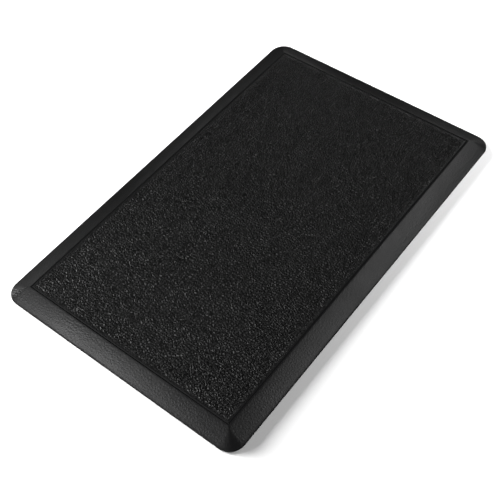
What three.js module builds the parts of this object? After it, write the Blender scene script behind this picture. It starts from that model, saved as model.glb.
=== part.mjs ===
// Anti-fatigue standing mat, 20 x 32 in: a moulded skin over two bonded foam layers, on an anti-slip sheet.
// Millimetres, +Z up. The origin is the middle of the underside, X runs across the mat and Y along it.
//
// The upper surface is a height above the floor that depends only on the inset, the distance in from the
// outer edge. From the edge inwards it is a short upright lip, a crowned bevel, a rounded bead, a narrow
// moulded groove and the flat standing field. Each layer below follows the same height, lowered a little.

import * as THREE from 'three';
import { mergeVertices } from 'three/addons/utils/BufferGeometryUtils.js';

// overall size
const matWidth = 508;
const matLength = 813;
const matHeight = 16;
const cornerRadius = 30;

// section across the border, from the outer edge inwards
const lipHeight = 2.5;
const edgeRound = 1;
const bevelWidth = 33;
const bevelCrown = 0.12;
const beadWidth = 2.2;
const beadDrop = 0.4;
const grooveWidth = 2.4;
const grooveDepth = 1;

// layers
const skinDrop = 1.4;
const rimWidth = 3;
const baseThickness = 1.2;
const bondGap = 0.3;
const splitHeight = 7.2;

// how finely curves are divided
const cornerSteps = 10;
const bevelSteps = 8;
const beadSteps = 4;
const grooveSteps = 6;
const roundSteps = 3;
const sharpestCorner = 0.4;

// insets at which the section changes from one shape to the next
const bevelStart = edgeRound;
const beadStart = bevelWidth;
const grooveStart = beadStart + beadWidth;
const fieldStart = grooveStart + grooveWidth;
const bevelTop = matHeight - beadDrop;

const skinColour = 0x1b1b1c;
const foamColour = 0x3a3a3c;
const baseColour = 0x151516;

// Height of the crowned bevel: a straight ramp plus a parabola that is nought at both its ends.
function bevelHeight(inset) {
  const along = (inset - bevelStart) / (beadStart - bevelStart);
  const crowned = along + bevelCrown * along * (1 - along);
  return lipHeight + (bevelTop - lipHeight) * crowned;
}

// The inset at which the bevel, lowered by drop, reaches a height: the smaller root of its quadratic.
function bevelInset(height, drop) {
  const risen = (height + drop - lipHeight) / (bevelTop - lipHeight);
  const slope = 1 + bevelCrown;
  const along = (slope - Math.sqrt(slope * slope - 4 * bevelCrown * risen)) / (2 * bevelCrown);
  return bevelStart + along * (beadStart - bevelStart);
}

// Height of the upper surface at any inset past the rounded outer edge.
function surfaceHeight(inset) {
  if (inset <= beadStart) return bevelHeight(inset);
  if (inset <= grooveStart) {
    const along = (inset - beadStart) / beadWidth;
    return bevelTop + beadDrop * Math.sin(along * Math.PI / 2);
  }
  if (inset < fieldStart) {
    const along = (inset - grooveStart) / grooveWidth;
    return matHeight - grooveDepth * Math.sin(along * Math.PI) ** 2;
  }
  return matHeight;
}

// Evenly spaced insets from one place in the section to the next, both ends included.
function insetsBetween(from, to, steps) {
  return Array.from({ length: steps + 1 }, (_, i) => from + (to - from) * i / steps);
}

// Section of the upper surface from a starting inset to the field's edge, lowered by drop.
function surfaceSection(fromInset, drop) {
  const insets = [
    ...insetsBetween(bevelStart, beadStart, bevelSteps),
    ...insetsBetween(beadStart, grooveStart, beadSteps).slice(1),
    ...insetsBetween(grooveStart, fieldStart, grooveSteps).slice(1),
  ];
  const kept = [fromInset, ...insets.filter((inset) => inset > fromInset + bondGap)];
  return kept.map((inset) => ({ inset, z: surfaceHeight(inset) - drop }));
}

// The mat's outline at an inset: a rounded rectangle whose corners tighten until they are all but sharp.
function outline(inset) {
  const radius = Math.max(cornerRadius - inset, sharpestCorner);
  const halfWidth = matWidth / 2 - inset - radius;
  const halfLength = matLength / 2 - inset - radius;
  const points = [];
  [[1, 1], [-1, 1], [-1, -1], [1, -1]].forEach(([sideX, sideY], corner) => {
    for (let i = 0; i <= cornerSteps; i += 1) {
      const angle = (corner + i / cornerSteps) * Math.PI / 2;
      const x = sideX * halfWidth + radius * Math.cos(angle);
      const y = sideY * halfLength + radius * Math.sin(angle);
      points.push(new THREE.Vector2(x, y));
    }
  });
  return points;
}

// A closed body swept through a section of rings. The first ring is filled facing down, the last facing up.
function ringBody(section) {
  const rings = section.map(({ inset }) => outline(inset));
  const ringSize = rings[0].length;
  const positions = [];
  rings.forEach((points, level) => {
    points.forEach((point) => positions.push(point.x, point.y, section[level].z));
  });
  const triangles = [];
  for (let level = 0; level < rings.length - 1; level += 1) {
    for (let i = 0; i < ringSize; i += 1) {
      const next = (i + 1) % ringSize;
      const low = level * ringSize;
      const high = low + ringSize;
      triangles.push(low + i, low + next, high + next);
      triangles.push(low + i, high + next, high + i);
    }
  }
  const lastRing = (rings.length - 1) * ringSize;
  THREE.ShapeUtils.triangulateShape(rings[0], []).forEach(([a, b, c]) => triangles.push(c, b, a));
  THREE.ShapeUtils.triangulateShape(rings.at(-1), []).forEach(([a, b, c]) => {
    triangles.push(lastRing + a, lastRing + b, lastRing + c);
  });
  const geometry = new THREE.BufferGeometry();
  geometry.setAttribute('position', new THREE.Float32BufferAttribute(positions, 3));
  geometry.setIndex(triangles);
  return mergeVertices(geometry);
}

function piece(name, geometry, color, roughness) {
  geometry.computeVertexNormals();
  const material = new THREE.MeshStandardMaterial({ color, roughness, metalness: 0 });
  const mesh = new THREE.Mesh(geometry, material);
  mesh.name = name;
  return mesh;
}

// The skin is a shallow tray turned over: its ceiling, its inner wall down to the rim, then its outside.
function topSkin() {
  const inside = surfaceSection(rimWidth, skinDrop).reverse();
  const lip = insetsBetween(0, 1, roundSteps).map((share) => {
    const angle = share * Math.PI / 2;
    return {
      inset: edgeRound * (1 - Math.cos(angle)),
      z: lipHeight - edgeRound * (1 - Math.sin(angle)),
    };
  });
  const outside = surfaceSection(bevelStart, 0).slice(1);
  return ringBody([...inside, { inset: rimWidth, z: 0 }, { inset: 0, z: 0 }, ...lip, ...outside]);
}

// The soft foam fills the skin from the split between the two foams up to the skin's underside.
function cushionFoam() {
  const drop = skinDrop + bondGap;
  return ringBody(surfaceSection(bevelInset(splitHeight + bondGap, drop), drop));
}

// The firmer foam lies under it, from the base sheet up to the split.
function supportFoam() {
  const drop = skinDrop + bondGap;
  const wall = rimWidth + bondGap;
  const topInset = bevelInset(splitHeight, drop);
  const slope = insetsBetween(wall, topInset, 3).map((inset) => ({ inset, z: surfaceHeight(inset) - drop }));
  return ringBody([{ inset: wall, z: baseThickness + bondGap }, ...slope]);
}

// The anti-slip sheet sits inside the skin's rim, flush with its underside.
function baseSheet() {
  const edge = rimWidth + bondGap;
  return ringBody([{ inset: edge, z: 0 }, { inset: edge, z: baseThickness }]);
}

const mat = new THREE.Group();
mat.add(
  piece('top_skin', topSkin(), skinColour, 0.6),
  piece('cushion_foam', cushionFoam(), foamColour, 0.9),
  piece('support_foam', supportFoam(), foamColour, 0.9),
  piece('base_sheet', baseSheet(), baseColour, 0.8),
);

export default mat;
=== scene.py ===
import math

import bpy
import numpy as np
from mathutils import Matrix, Vector


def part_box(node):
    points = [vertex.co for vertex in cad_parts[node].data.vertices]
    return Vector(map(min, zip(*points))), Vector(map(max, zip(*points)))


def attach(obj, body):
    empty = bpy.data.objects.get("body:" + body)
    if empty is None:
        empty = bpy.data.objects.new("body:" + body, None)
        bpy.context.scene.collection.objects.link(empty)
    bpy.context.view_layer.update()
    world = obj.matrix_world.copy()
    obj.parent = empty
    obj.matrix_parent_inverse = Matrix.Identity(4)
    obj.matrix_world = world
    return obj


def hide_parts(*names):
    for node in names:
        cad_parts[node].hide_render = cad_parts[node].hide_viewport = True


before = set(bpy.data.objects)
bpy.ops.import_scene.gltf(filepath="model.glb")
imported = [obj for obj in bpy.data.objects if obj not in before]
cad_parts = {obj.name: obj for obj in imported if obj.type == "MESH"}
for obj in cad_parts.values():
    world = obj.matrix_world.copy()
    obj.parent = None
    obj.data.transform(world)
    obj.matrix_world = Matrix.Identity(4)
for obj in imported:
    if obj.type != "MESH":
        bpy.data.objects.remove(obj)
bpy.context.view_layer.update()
skinLow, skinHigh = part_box("top_skin")
baseLow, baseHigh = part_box("base_sheet")
softLow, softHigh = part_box("cushion_foam")
firmLow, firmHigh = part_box("support_foam")
print("frame loaded:", sorted(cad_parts))

matWidth = skinHigh.x - skinLow.x
matLength = skinHigh.y - skinLow.y
matHeight = skinHigh.z

# The border's section, from the outer edge inwards, in metres. The crown is a share of the bevel's rise.
border = {
    "cornerRadius": 0.0300,
    "lipHeight": 0.0025,
    "edgeRound": 0.0010,
    "bevelWidth": 0.0330,
    "bevelCrown": 0.12,
    "beadWidth": 0.0022,
    "beadDrop": 0.0004,
    "grooveWidth": 0.0024,
    "grooveDepth": 0.0010,
    "rimWidth": 0.0030,
}
grooveStart = border["bevelWidth"] + border["beadWidth"]
fieldStart = grooveStart + border["grooveWidth"]
grooveMiddle = grooveStart + border["grooveWidth"] / 2
bevelTop = matHeight - border["beadDrop"]
baseInset = baseLow.x - skinLow.x
bondGap = baseInset - border["rimWidth"]
foamDrop = matHeight - softHigh.z  # from the upper surface down to the top of the foam
skinDrop = foamDrop - bondGap
sharpAngle = 40  # degrees
noiseRange = (0.3, 0.7)  # where nearly all of a noise texture's values lie


# Height of the upper surface at an inset from the edge: a ramp plus a small parabola over the bevel,
# a quarter sine over the bead, a dip of sine squared for the groove, then the level field.
def surfaceHeight(inset):
    along = (inset - border["edgeRound"]) / (border["bevelWidth"] - border["edgeRound"])
    ramp = along + border["bevelCrown"] * along * (1 - along)
    bevel = border["lipHeight"] + (bevelTop - border["lipHeight"]) * ramp
    onBead = np.clip((inset - border["bevelWidth"]) / border["beadWidth"], 0, 1)
    bead = bevelTop + border["beadDrop"] * np.sin(onBead * np.pi / 2)
    inGroove = np.clip((inset - grooveStart) / border["grooveWidth"], 0, 1)
    outer = np.where(inset < border["bevelWidth"], bevel, bead)
    return outer - border["grooveDepth"] * np.sin(inGroove * np.pi) ** 2


# The inset at which the bevel, lowered by drop, has a height: the smaller root of the ramp's quadratic.
def bevelInset(height, drop):
    crown = border["bevelCrown"]
    risen = (height + drop - border["lipHeight"]) / (bevelTop - border["lipHeight"])
    along = (1 + crown - math.sqrt((1 + crown) ** 2 - 4 * crown * risen)) / (2 * crown)
    return border["edgeRound"] + along * (border["bevelWidth"] - border["edgeRound"])


# Insets from the foot of the bevel to the field, closer together where the section turns faster.
def sectionInsets(bevelSteps, beadSteps, grooveSteps):
    bevel = np.linspace(border["edgeRound"], border["bevelWidth"], bevelSteps + 1)
    bead = np.linspace(border["bevelWidth"], grooveStart, beadSteps + 1)[1:]
    groove = np.linspace(grooveStart, fieldStart, grooveSteps + 1)[1:]
    return np.concatenate([bevel, bead, groove])


# Points round a rounded rectangle, anticlockwise. Each corner turns a quarter circle of the radius, in
# cuts["corner"] parts, and each side runs straight on, cut at the shares in cuts["across"] or ["along"].
def outline(inset, radius, cuts):
    halfX = matWidth / 2 - inset - radius
    halfY = matLength / 2 - inset - radius
    quarter = np.linspace(0, np.pi / 2, cuts["corner"] + 1)
    arcs = []
    for turn, (signX, signY) in enumerate([(1, 1), (-1, 1), (-1, -1), (1, -1)]):
        angle = quarter + turn * np.pi / 2
        x = signX * halfX + radius * np.cos(angle)
        y = signY * halfY + radius * np.sin(angle)
        arcs.append(np.stack([x, y], axis=1))
    points = []
    for turn, arc in enumerate(arcs):
        share = cuts["across" if turn % 2 == 0 else "along"][1:-1, None]
        nextStart = arcs[(turn + 1) % 4][0]
        points += [arc, arc[-1] + (nextStart - arc[-1]) * share]
    return np.concatenate(points)


# Rows of a section: inset, height, and the corner radius there, which tightens inwards down to nought.
def sectionRows(insets, heights):
    insets, heights = np.broadcast_arrays(insets, heights)
    return np.stack([insets, heights, np.maximum(border["cornerRadius"] - insets, 0)], axis=-1)


# Rings of points carried along a section: one outline for each row, at the row's height.
def ringSurface(section, cuts):
    flat = np.stack([outline(inset, radius, cuts) for inset, _, radius in section])
    heights = np.broadcast_to(section[:, 1, None, None], (*flat.shape[:2], 1))
    return np.concatenate([flat, heights], axis=2)


# A level sheet of points over the rectangle left inside an inset, cut as the outline round it is.
def levelSheet(inset, z, cuts):
    x = (cuts["across"] * 2 - 1) * (matWidth / 2 - inset)
    y = (cuts["along"] * 2 - 1) * (matLength / 2 - inset)
    flat = np.stack(np.meshgrid(x, y), axis=-1)
    return np.concatenate([flat, np.full((*flat.shape[:2], 1), z)], axis=2)


# Two triangles for each cell of a grid of points. A closed grid joins its last column to its first.
def gridTriangles(grid, closed=False):
    rows, columns = grid.shape[:2]
    row = np.arange(rows - 1)[:, None]
    column = np.arange(columns if closed else columns - 1)[None, :]
    after = (column + 1) % columns
    a, b = row * columns + column, row * columns + after
    c, d = a + columns, b + columns
    halves = [np.stack(corners, axis=-1).reshape(-1, 3) for corners in ((a, b, d), (a, d, c))]
    return np.concatenate(halves)


# Triangles from each pair of neighbours on a ring to a point in its middle, added after them.
def fanOver(ring):
    around = np.arange(len(ring))
    triangles = np.stack([around, np.roll(around, -1), np.full(len(ring), len(ring))], axis=1)
    return np.vstack([ring, ring.mean(axis=0)]), triangles


# One closed surface: rings carried along a section that starts underneath and ends on top, with the sheets
# or fans that fill its first ring, facing down, and its last, facing up. Points that meet become one, and
# triangles that lose their area to that are dropped.
def closedSurface(section, cuts, lower, upper):
    rings = ringSurface(section, cuts)
    parts = [(rings.reshape(-1, 3), gridTriangles(rings, closed=True))]
    for filling, ring, faceDown in ((lower, rings[0], True), (upper, rings[-1], False)):
        if filling is None:
            points, triangles = fanOver(ring)
        else:
            points, triangles = filling.reshape(-1, 3), gridTriangles(filling)
        parts.append((points, triangles[:, ::-1] if faceDown else triangles))
    starts = np.cumsum([0] + [len(points) for points, _ in parts[:-1]])
    points = np.vstack([points for points, _ in parts])
    triangles = np.vstack([triangles + start for (_, triangles), start in zip(parts, starts)])
    weld = 1e-6  # metres
    _, kept, standIn = np.unique(np.round(points / weld), axis=0, return_index=True, return_inverse=True)
    a, b, c = standIn.reshape(-1)[triangles].T
    whole = (a != b) & (b != c) & (c != a)
    return points[kept], np.stack([a, b, c], axis=1)[whole]


# How far a point lies in from the outer edge: its distance to the rounded rectangle.
def insetOf(points):
    radius = border["cornerRadius"]
    beyond = np.abs(points[:, :2]) - (np.array([matWidth, matLength]) / 2 - radius)
    outside = np.linalg.norm(np.maximum(beyond, 0), axis=1)
    return radius - outside - np.minimum(beyond.max(axis=1), 0)


# Pebbled relief from nought in the creases to one on the pebbles' tops: one less e to the minus steepness
# times the gap between a point's distances, in cells, to its nearest and its second nearest pebble centre.
# The centres are a grid, each moved at random in its cell, with two spare cells on each side.
def pebbleRelief(points, size, steepness, seed):
    gridSize = np.ceil(np.array([matWidth, matLength]) / size).astype(int) + 4
    jitter = np.random.default_rng(seed).random((*gridSize, 2))
    at = points[:, :2] / size + gridSize / 2
    cell = np.floor(at).astype(int)
    distances = []
    for step in np.stack(np.meshgrid([-1, 0, 1], [-1, 0, 1]), axis=-1).reshape(-1, 2):
        near = cell + step
        centre = near + jitter[near[:, 0], near[:, 1]]
        distances.append(np.linalg.norm(centre - at, axis=1))
    nearest = np.sort(np.stack(distances), axis=0)
    return 1 - np.exp(-steepness * (nearest[1] - nearest[0]))


# A mesh object from points and triangles, shaded smooth except where faces turn by more than sharpAngle.
def addMesh(name, points, triangles, material, attributes=None):
    mesh = bpy.data.meshes.new(name)
    mesh.vertices.add(len(points))
    mesh.vertices.foreach_set("co", points.astype(np.float32).ravel())
    mesh.loops.add(triangles.size)
    mesh.loops.foreach_set("vertex_index", triangles.astype(np.int32).ravel())
    mesh.polygons.add(len(triangles))
    mesh.polygons.foreach_set("loop_start", np.arange(0, triangles.size, 3, dtype=np.int32))
    mesh.polygons.foreach_set("use_smooth", np.ones(len(triangles), dtype=bool))
    for label, values in (attributes or {}).items():
        attribute = mesh.attributes.new(label, "FLOAT", "POINT")
        attribute.data.foreach_set("value", values.astype(np.float32))
    mesh.update(calc_edges=True)
    mesh.set_sharp_from_angle(angle=math.radians(sharpAngle))
    mesh.materials.append(material)
    thing = bpy.data.objects.new(name, mesh)
    bpy.context.scene.collection.objects.link(thing)
    return thing


# A finished piece stands for its CAD node and is lit as part of the mat.
def place(piece, node):
    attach(piece, "root")
    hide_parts(node)
    litApart["mat"].objects.link(piece)
    print(piece.name, "made:", len(piece.data.polygons), "triangles")


def newMaterial(name):
    material = bpy.data.materials.new(name)
    material.use_nodes = True
    tree = material.node_tree
    tree.nodes.clear()
    output = tree.nodes.new("ShaderNodeOutputMaterial")
    shader = tree.nodes.new("ShaderNodeBsdfPrincipled")
    tree.links.new(shader.outputs["BSDF"], output.inputs["Surface"])
    return material, tree, shader


def objectPlace(tree):
    return tree.nodes.new("ShaderNodeTexCoord").outputs["Object"]


def attributeValue(tree, name):
    node = tree.nodes.new("ShaderNodeAttribute")
    node.attribute_name = name
    return node.outputs["Fac"]


def feed(tree, socket, value):
    if isinstance(value, bpy.types.NodeSocket):
        tree.links.new(value, socket)
    elif isinstance(value, tuple):
        socket.default_value = (*value, 1)
    else:
        socket.default_value = value


def combine(tree, operation, first, second):
    node = tree.nodes.new("ShaderNodeMath")
    node.operation = operation
    feed(tree, node.inputs[0], first)
    feed(tree, node.inputs[1], second)
    return node.outputs["Value"]


def ranged(tree, value, source, target, smooth=False):
    node = tree.nodes.new("ShaderNodeMapRange")
    node.interpolation_type = "SMOOTHSTEP" if smooth else "LINEAR"
    feed(tree, node.inputs["Value"], value)
    for label, number in zip(("From Min", "From Max", "To Min", "To Max"), (*source, *target)):
        node.inputs[label].default_value = number
    return node.outputs["Result"]


def noise(tree, at, size, detail=2.0):
    node = tree.nodes.new("ShaderNodeTexNoise")
    feed(tree, node.inputs["Vector"], at)
    node.inputs["Scale"].default_value = 1 / size
    node.inputs["Detail"].default_value = detail
    return node.outputs["Fac"]


def cells(tree, at, size, feature, randomness=1.0):
    node = tree.nodes.new("ShaderNodeTexVoronoi")
    node.feature = feature
    feed(tree, node.inputs["Vector"], at)
    node.inputs["Scale"].default_value = 1 / size
    node.inputs["Randomness"].default_value = randomness
    return node.outputs["Distance"]


def bump(tree, height, depth, strength=1.0, onTopOf=None):
    node = tree.nodes.new("ShaderNodeBump")
    node.inputs["Distance"].default_value = depth
    feed(tree, node.inputs["Strength"], strength)
    feed(tree, node.inputs["Height"], height)
    if onTopOf is not None:
        feed(tree, node.inputs["Normal"], onTopOf)
    return node.outputs["Normal"]


def blended(tree, share, first, second):
    node = tree.nodes.new("ShaderNodeMix")
    node.data_type = "RGBA"
    feed(tree, node.inputs["Factor"], share)
    colours = [socket for socket in node.inputs if socket.type == "RGBA"]
    for socket, value in zip(colours, (first, second)):
        feed(tree, socket, value)
    return next(socket for socket in node.outputs if socket.type == "RGBA")


# Where the camera looks, in shares of the mat's width and length from its middle, and from where, in
# degrees and metres. The lens is in millimetres, on a sensor 36 mm wide.
view = {
    "aimShare": (0.063, -0.0924, 0),
    "azimuth": 39.877,
    "elevation": 53.13,
    "roll": -2.962,
    "distance": 1.6056,
    "lens": 64.64,
    "sensor": 36,
    "clip": (0.01, 100),
}


def addCamera():
    aim = Vector((view["aimShare"][0] * matWidth, view["aimShare"][1] * matLength, 0))
    azimuth, elevation = math.radians(view["azimuth"]), math.radians(view["elevation"])
    level = math.cos(elevation)
    toEye = Vector((math.sin(azimuth) * level, -math.cos(azimuth) * level, math.sin(elevation)))
    data = bpy.data.cameras.new("camera")
    data.lens = view["lens"]
    data.sensor_width = view["sensor"]
    data.clip_start, data.clip_end = view["clip"]
    camera = bpy.data.objects.new("camera", data)
    turn = toEye.to_track_quat("Z", "Y").to_matrix().to_4x4()
    roll = Matrix.Rotation(math.radians(view["roll"]), 4, "Z")
    camera.matrix_world = Matrix.Translation(aim + toEye * view["distance"]) @ turn @ roll
    bpy.context.scene.collection.objects.link(camera)
    bpy.context.scene.camera = camera


addCamera()
bpy.context.scene.view_settings.view_transform = "Standard"
print("camera set")


floorLook = {
    "colour": (0.96, 0.96, 0.96),
    "cloudColour": (0.95, 0.95, 0.95),
    "cloudSize": 0.8,
    "roughness": 0.7,
    "specular": 0.1,
    "reach": 1.15,  # from its middle to each side
    "points": 9,  # along each side
}

# Each softbox: what it lights, its bearing from +X and its elevation in degrees, its distance from the
# mat's middle and its two sides in metres, and its power in watts. The black mat and the white floor are
# lit apart, so that neither is lost in the other's exposure.
softboxes = {
    "front": {"lights": "mat", "aim": (270, 22), "distance": 1.8, "sides": (0.5, 0.5), "power": 28.5},
    "frontLeft": {"lights": "mat", "aim": (240, 35), "distance": 1.3, "sides": (0.35, 0.35), "power": 4.8},
    "nearLeft": {"lights": "mat", "aim": (210, 8), "distance": 1.3, "sides": (0.35, 0.2), "power": 5.8},
    "left": {"lights": "mat", "aim": (180, 22), "distance": 2.5, "sides": (0.6, 0.6), "power": 5},
    "backLeft": {"lights": "mat", "aim": (150, 22), "distance": 2.5, "sides": (0.6, 0.6), "power": 2},
    "backMiddle": {"lights": "mat", "aim": (120, 22), "distance": 2.5, "sides": (0.6, 0.6), "power": 5.6},
    "back": {"lights": "mat", "aim": (90, 22), "distance": 2.5, "sides": (0.6, 0.6), "power": 6.4},
    "backRight": {"lights": "mat", "aim": (60, 45), "distance": 2.5, "sides": (0.6, 0.6), "power": 7.4},
    "right": {"lights": "mat", "aim": (30, 45), "distance": 2.5, "sides": (0.6, 0.6), "power": 10},
    "floorTop": {"lights": "floor", "aim": (180, 80), "distance": 4, "sides": (3, 3), "power": 28},
    "floorBack": {"lights": "floor", "aim": (55, 30), "distance": 1.3, "sides": (0.8, 0.8), "power": 13},
    "floorSide": {"lights": "floor", "aim": (184, 9), "distance": 7, "sides": (4.2, 2.2), "power": 4500},
}
litApart = {name: bpy.data.collections.new(name + "Lit") for name in ("mat", "floor")}
sky = {"seen": (1, 1, 1), "seenStrength": 1.0, "given": (1, 1, 1), "givenStrength": 0.0}


def addFloor():
    material, tree, shader = newMaterial("paleFloor")
    tone = noise(tree, objectPlace(tree), floorLook["cloudSize"], 3)
    tint = blended(tree, tone, floorLook["colour"], floorLook["cloudColour"])
    feed(tree, shader.inputs["Base Color"], tint)
    shader.inputs["Roughness"].default_value = floorLook["roughness"]
    shader.inputs["Specular IOR Level"].default_value = floorLook["specular"]
    side = np.linspace(-1, 1, floorLook["points"]) * floorLook["reach"]
    x, y = np.meshgrid(side, side)
    grid = np.stack([x, y, np.zeros_like(x)], axis=-1)
    floor = addMesh("floor", grid.reshape(-1, 3), gridTriangles(grid), material)
    floor.visible_glossy = False  # the mat's bevels don't mirror the white floor
    litApart["floor"].objects.link(floor)


def addSoftbox(name, look):
    data = bpy.data.lights.new(name, "AREA")
    data.shape = "RECTANGLE"
    data.size, data.size_y = look["sides"]
    data.energy = look["power"]
    lamp = bpy.data.objects.new(name, data)
    lamp.light_linking.receiver_collection = litApart[look["lights"]]
    bearing, elevation = [math.radians(angle) for angle in look["aim"]]
    level = math.cos(elevation)
    away = Vector((math.cos(bearing) * level, math.sin(bearing) * level, math.sin(elevation)))
    facing = away.to_track_quat("Z", "Y").to_matrix().to_4x4()
    lamp.matrix_world = Matrix.Translation(away * look["distance"]) @ facing
    bpy.context.scene.collection.objects.link(lamp)


# The sky is white where the camera sees it, and gives no light.
def addSky():
    world = bpy.data.worlds.new("sky")
    bpy.context.scene.world = world
    world.use_nodes = True
    tree = world.node_tree
    tree.nodes.clear()
    output = tree.nodes.new("ShaderNodeOutputWorld")
    seen, given = tree.nodes.new("ShaderNodeBackground"), tree.nodes.new("ShaderNodeBackground")
    feed(tree, seen.inputs["Color"], sky["seen"])
    feed(tree, seen.inputs["Strength"], sky["seenStrength"])
    feed(tree, given.inputs["Color"], sky["given"])
    feed(tree, given.inputs["Strength"], sky["givenStrength"])
    either = tree.nodes.new("ShaderNodeMixShader")
    feed(tree, either.inputs["Fac"], tree.nodes.new("ShaderNodeLightPath").outputs["Is Camera Ray"])
    tree.links.new(given.outputs["Background"], either.inputs[1])
    tree.links.new(seen.outputs["Background"], either.inputs[2])
    tree.links.new(either.outputs["Shader"], output.inputs["Surface"])


addFloor()
for name, look in softboxes.items():
    addSoftbox(name, look)
addSky()
print("studio set")


skin = {
    "colour": (0.0165, 0.0165, 0.0169),
    "rubbedColour": (0.0225, 0.0225, 0.0230),
    # painted shade: the near black painted into the pebbles' creases and onto the lip's foot
    "paintedShadeColour": (0.0006, 0.0006, 0.0006),
    "smoothColour": (0.0045, 0.0045, 0.0047),  # of the bevel and the groove
    "roughness": 0.36,
    "roughnessSpread": 0.04,
    "creaseRoughness": 0.1,  # added in the creases
    "dustRoughness": 0.3,  # added at the lip's foot and in the groove
    "specular": 0.3,
    "fieldSpecular": 0.22,
    "dustSpecular": 0.4,  # a share of the others
    "pebbleSize": 0.0049,
    "pebbleDepth": 0.0029,
    "pebbleDisorder": 0.9,
    "pebbleSlope": 0.42,  # how far in from its crease a pebble goes on rising, in pebble sizes
    "pebbleTop": (0.15, 0.43),  # where its colour begins to turn, and has turned
    "swell": (0.95, 1.05),
    "poreSize": 0.0008,
    "poreDepth": 0.00003,
    "poreStrength": 0.8,
    "grainOnBevel": 0.07,
    "grainFade": 0.0110,
    # below this height the lip's foot is painted near black, a painted shade, and made duller
    "footShadeHeight": (0.0018, 0.0031),
    "grooveDust": (0.0010, 0.0036),  # to each side of the groove's middle
    "blotchSize": 0.09,
    "rubbedBlotches": (0.42, 0.68),
    "rubbedShare": 0.6,
    "wornEdge": 0.0030,
    "wornShare": 0.2,
    "corner": 12,  # parts of a quarter circle
    "across": 174,  # parts of a short side
    "along": 296,  # parts of a long side
    "bevelSteps": 12,
    "beadSteps": 5,
    "grooveSteps": 6,
    "edgeSteps": 4,
    "liningSteps": 6,
    "reliefSize": 0.0060,
    "reliefDepth": 0.00010,
    "reliefSteepness": 3,
    "reliefOnBevel": 0.08,
    "reliefFade": 0.0030,
    "seed": 11,
}


# Pebbles are full on the field and faint on the bevel, where the mould was nearly smooth. Their creases are
# painted near black, a painted shade, and are duller. Wear pales the pebbles' tops in patches, and the edge
# of the lip. The foot of the lip is painted near black too, a painted shade, and it and the groove are
# duller.
def grainedSkin():
    material, tree, shader = newMaterial("grainedSkin")
    at = objectPlace(tree)
    inset = attributeValue(tree, "inset")
    fadeIn = (grooveMiddle, fieldStart + skin["grainFade"])
    onField = ranged(tree, inset, fadeIn, (skin["grainOnBevel"], 1), smooth=True)
    crease = cells(tree, at, skin["pebbleSize"], "DISTANCE_TO_EDGE", skin["pebbleDisorder"])
    pebble = ranged(tree, crease, (0, skin["pebbleSlope"]), (0, 1), smooth=True)
    swell = ranged(tree, noise(tree, at, skin["pebbleSize"] * 2), noiseRange, skin["swell"])
    pores = noise(tree, at, skin["poreSize"], 3)
    normal = bump(tree, combine(tree, "MULTIPLY", pebble, swell), skin["pebbleDepth"], onField)
    normal = bump(tree, pores, skin["poreDepth"], skin["poreStrength"], normal)
    feed(tree, shader.inputs["Normal"], normal)

    height = tree.nodes.new("ShaderNodeSeparateXYZ")
    feed(tree, height.inputs["Vector"], at)
    # Painted shade at the lip's foot: its colour turns near black below this height, and it is duller.
    foot = ranged(tree, height.outputs["Z"], skin["footShadeHeight"], (1, 0), smooth=True)
    fromGroove = combine(tree, "ABSOLUTE", combine(tree, "SUBTRACT", inset, grooveMiddle), 0)
    # Duller and less shiny at the lip's foot and in the groove.
    dulled = combine(tree, "MAXIMUM", foot, ranged(tree, fromGroove, skin["grooveDust"], (1, 0), smooth=True))

    blotches = noise(tree, at, skin["blotchSize"], 4)
    top = ranged(tree, crease, skin["pebbleTop"], (0, 1), smooth=True)
    rubbed = ranged(tree, blotches, skin["rubbedBlotches"], (0, skin["rubbedShare"]), smooth=True)
    worn = ranged(tree, inset, (0, skin["wornEdge"]), (skin["wornShare"], 0), smooth=True)
    # Painted shade: the creases between pebbles are painted near black, paling to the colour on the pebbles'
    # tops.
    tone = blended(tree, top, skin["paintedShadeColour"], skin["colour"])
    tone = blended(tree, combine(tree, "MULTIPLY", rubbed, top), tone, skin["rubbedColour"])
    tone = blended(tree, onField, skin["smoothColour"], tone)
    tone = blended(tree, worn, tone, skin["rubbedColour"])
    # The lip's foot takes the painted shade colour.
    feed(tree, shader.inputs["Base Color"], blended(tree, foot, tone, skin["paintedShadeColour"]))

    spread = skin["roughnessSpread"]
    uneven = ranged(tree, blotches, noiseRange, (skin["roughness"] - spread, skin["roughness"] + spread))
    inCrease = ranged(tree, pebble, (0, 1), (skin["creaseRoughness"], 0))
    rough = combine(tree, "ADD", uneven, combine(tree, "MULTIPLY", inCrease, onField))
    dull = combine(tree, "MULTIPLY", dulled, skin["dustRoughness"])
    feed(tree, shader.inputs["Roughness"], combine(tree, "ADD", rough, dull))

    shine = ranged(tree, onField, (0, 1), (skin["specular"], skin["fieldSpecular"]))
    clean = ranged(tree, dulled, (0, 1), (1, skin["dustSpecular"]))
    feed(tree, shader.inputs["Specular IOR Level"], combine(tree, "MULTIPLY", shine, clean))
    return material


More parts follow.
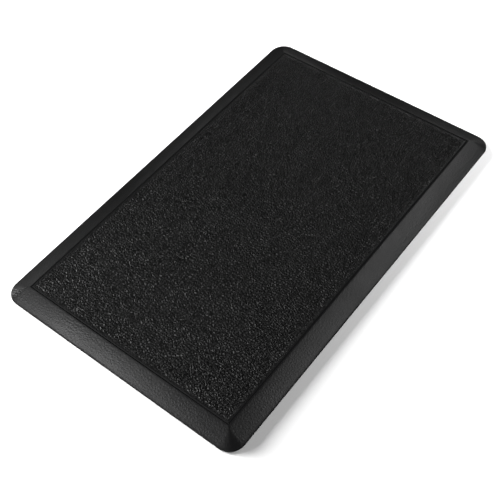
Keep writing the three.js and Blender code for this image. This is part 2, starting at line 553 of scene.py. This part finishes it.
# The skin is a shallow tray turned over: its ceiling, its wall down to the rim's foot, then its outside,
# up the lip, round its edge by a quarter circle and over the border to the field. The relief lowers the
# creases between pebbles on the field and, less, on the bevel.
def makeSkin():
    cuts = {side: np.linspace(0, 1, skin[side] + 1) for side in ("across", "along")}
    cuts["corner"] = skin["corner"]
    insets = sectionInsets(skin["bevelSteps"], skin["beadSteps"], skin["grooveSteps"])
    rim = border["rimWidth"]
    inner = sectionInsets(skin["liningSteps"], skin["liningSteps"] // 2, skin["liningSteps"])
    under = np.concatenate([[rim], inner[inner > rim + bondGap]])[::-1]
    lining = sectionRows(under, surfaceHeight(under) - skinDrop)
    rimFoot = sectionRows(np.array([rim, 0]), 0)
    turn = np.linspace(0, np.pi / 2, skin["edgeSteps"] + 1)
    lipHeight = border["lipHeight"] - border["edgeRound"] * (1 - np.sin(turn))
    lip = sectionRows(border["edgeRound"] * (1 - np.cos(turn)), lipHeight)
    outside = sectionRows(insets[1:], surfaceHeight(insets[1:]))
    section = np.vstack([lining, rimFoot, lip, outside])
    field = levelSheet(fieldStart, matHeight, cuts)
    points, triangles = closedSurface(section, cuts, None, field)

    inset = insetOf(points)
    fade = skin["reliefFade"]
    onField = np.clip((inset - fieldStart) / fade, 0, 1)
    onBevel = np.clip((inset - fade) / fade, 0, 1) * np.clip((border["bevelWidth"] - inset) / fade, 0, 1)
    isUpper = points[:, 2] > surfaceHeight(np.maximum(inset, border["edgeRound"])) - skinDrop / 2
    lowered = 1 - pebbleRelief(points, skin["reliefSize"], skin["reliefSteepness"], skin["seed"])
    share = onField + skin["reliefOnBevel"] * onBevel
    points[:, 2] -= isUpper * lowered * share * skin["reliefDepth"]
    return addMesh("top_skin_shell", points, triangles, grainedSkin(), {"inset": inset})


topSkin = makeSkin()
place(topSkin, "top_skin")


foam = {
    "softColour": (0.045, 0.045, 0.048),
    "firmColour": (0.030, 0.030, 0.032),
    # painted shade: the share of the colour painted into the cells' hollows
    "hollowShade": 0.55,  # of the colour, inside the cells
    "cloudShade": 1.25,  # of the colour, where it is paler
    "cloudShare": 0.5,
    "cloudSize": 0.03,
    "cloudEdges": (0.35, 0.7),
    "roughness": (0.86, 0.96),
    "cellSize": 0.0012,
    "cellWalls": (0.1, 0.7),
    "cellDepth": 0.0003,
    "corner": 6,
    "across": 48,
    "along": 76,
    "bevelSteps": 8,
    "beadSteps": 3,
    "grooveSteps": 4,
    "unevenness": 0.00010,
    "seed": 5,
}


# Open cells whose hollows are painted darker, a painted shade, between paler walls, over clouds of a paler
# tone.
def foamMaterial(name, colour):
    material, tree, shader = newMaterial(name)
    at = objectPlace(tree)
    shaded = [tuple(channel * foam[shade] for channel in colour) for shade in ("hollowShade", "cloudShade")]
    wall = ranged(tree, cells(tree, at, foam["cellSize"], "F1"), foam["cellWalls"], (0, 1), smooth=True)
    clouds = noise(tree, at, foam["cloudSize"], 3)
    # Painted shade: the cells' hollows are painted darker than their walls.
    tone = blended(tree, wall, shaded[0], colour)
    cloudy = ranged(tree, clouds, foam["cloudEdges"], (0, foam["cloudShare"]))
    feed(tree, shader.inputs["Base Color"], blended(tree, cloudy, tone, shaded[1]))
    feed(tree, shader.inputs["Roughness"], ranged(tree, clouds, noiseRange, foam["roughness"]))
    feed(tree, shader.inputs["Normal"], bump(tree, wall, foam["cellDepth"]))
    return material


# A foam slab: rings along its section, with a level sheet in its lower and its upper face from the inset of
# the field inwards. Both sheets are moved a little at random into the slab, away from the bonded layers.
def makeFoam(name, section, colour):
    cuts = {side: np.linspace(0, 1, foam[side] + 1) for side in ("across", "along")}
    cuts["corner"] = foam["corner"]
    flatRows = sectionRows(fieldStart, section[[0, -1], 1])
    section = np.vstack([flatRows[:1], section, flatRows[1:]])
    lower, upper = (levelSheet(fieldStart, height, cuts) for height in flatRows[:, 1])
    rng = np.random.default_rng(foam["seed"])
    inner = (slice(1, -1), slice(1, -1), 2)
    lower[inner] += rng.random(lower[inner].shape) * foam["unevenness"]
    upper[inner] -= rng.random(upper[inner].shape) * foam["unevenness"]
    points, triangles = closedSurface(section, cuts, lower, upper)
    piece = addMesh(name, points, triangles, foamMaterial(name + "_foam", colour))
    return piece


foamInsets = sectionInsets(foam["bevelSteps"], foam["beadSteps"], foam["grooveSteps"])
softStart = bevelInset(softLow.z, foamDrop)
softRings = np.concatenate([[softStart], foamInsets[foamInsets > softStart + bondGap]])
softSection = sectionRows(softRings, surfaceHeight(softRings) - foamDrop)
place(makeFoam("cushion_foam_core", softSection, foam["softColour"]), "cushion_foam")

firmRings = np.linspace(baseInset, bevelInset(firmHigh.z, foamDrop), 5)
firmWall = sectionRows(baseInset, np.array([firmLow.z]))
firmSection = np.vstack([firmWall, sectionRows(firmRings, surfaceHeight(firmRings) - foamDrop)])
place(makeFoam("support_foam_core", firmSection, foam["firmColour"]), "support_foam")


base = {
    "colour": (0.0085, 0.0085, 0.0090),
    "dustColour": (0.0200, 0.0198, 0.0192),
    "dustPatches": (0.48, 0.72),
    "dustShare": 0.5,
    "patchSize": 0.07,
    "roughness": (0.56, 0.70),
    "grainSize": 0.0009,
    "grainDepth": 0.00006,
    "corner": 8,
    "studMargin": 0.018,
    "studPitch": 0.0105,
    "studWidth": 0.0062,
    "studSlope": 0.0004,
    "studHeight": 0.0005,
    "edgeRound": 0.0002,
}


# Dark rubber with a fine grain, dusty in patches.
def gripRubber():
    material, tree, shader = newMaterial("gripRubber")
    at = objectPlace(tree)
    patches = noise(tree, at, base["patchSize"], 4)
    dust = ranged(tree, patches, base["dustPatches"], (0, base["dustShare"]), smooth=True)
    feed(tree, shader.inputs["Base Color"], blended(tree, dust, base["colour"], base["dustColour"]))
    feed(tree, shader.inputs["Roughness"], ranged(tree, patches, noiseRange, base["roughness"]))
    grain = noise(tree, at, base["grainSize"], 3)
    feed(tree, shader.inputs["Normal"], bump(tree, grain, base["grainDepth"]))
    return material


# Where a row of studs along a side starts and stops: for each stud its foot, its two top edges and its
# foot again, as shares of the side, with how high each line stands from nought to one.
def studLines(side):
    count = int((side - base["studPitch"]) / base["studPitch"])
    middles = (np.arange(count) - (count - 1) / 2) * base["studPitch"]
    top = base["studWidth"] / 2
    foot = top + base["studSlope"]
    lines = (middles[:, None] + np.array([-foot, -top, top, foot])).ravel()
    shares = np.concatenate([[0], lines / side + 0.5, [1]])
    heights = np.concatenate([[0], np.tile([0, 1, 1, 0], count), [0]])
    return shares, heights


# The underside is a level sheet a stud's height up, with a grid of square studs that reach the floor:
# a stud stands where its row and its column both do. A plain band runs round it to the edge.
def makeBase():
    margin, raised, curl = base["studMargin"], base["studHeight"], base["edgeRound"]
    acrossCuts, acrossRise = studLines(matWidth - 2 * margin)
    alongCuts, alongRise = studLines(matLength - 2 * margin)
    cuts = {"corner": base["corner"], "across": acrossCuts, "along": alongCuts}
    studs = levelSheet(margin, raised, cuts)
    studs[..., 2] -= raised * acrossRise[None, :] * alongRise[:, None]
    top = baseHigh.z
    edge = sectionRows(baseInset + curl * np.array([1, 0, 0, 1]), [raised, raised + curl, top - curl, top])
    section = np.vstack([[margin, raised, 0], edge, [margin, top, 0]])
    points, triangles = closedSurface(section, cuts, studs, None)
    return addMesh("base_sheet_studded", points, triangles, gripRubber())


place(makeBase(), "base_sheet")
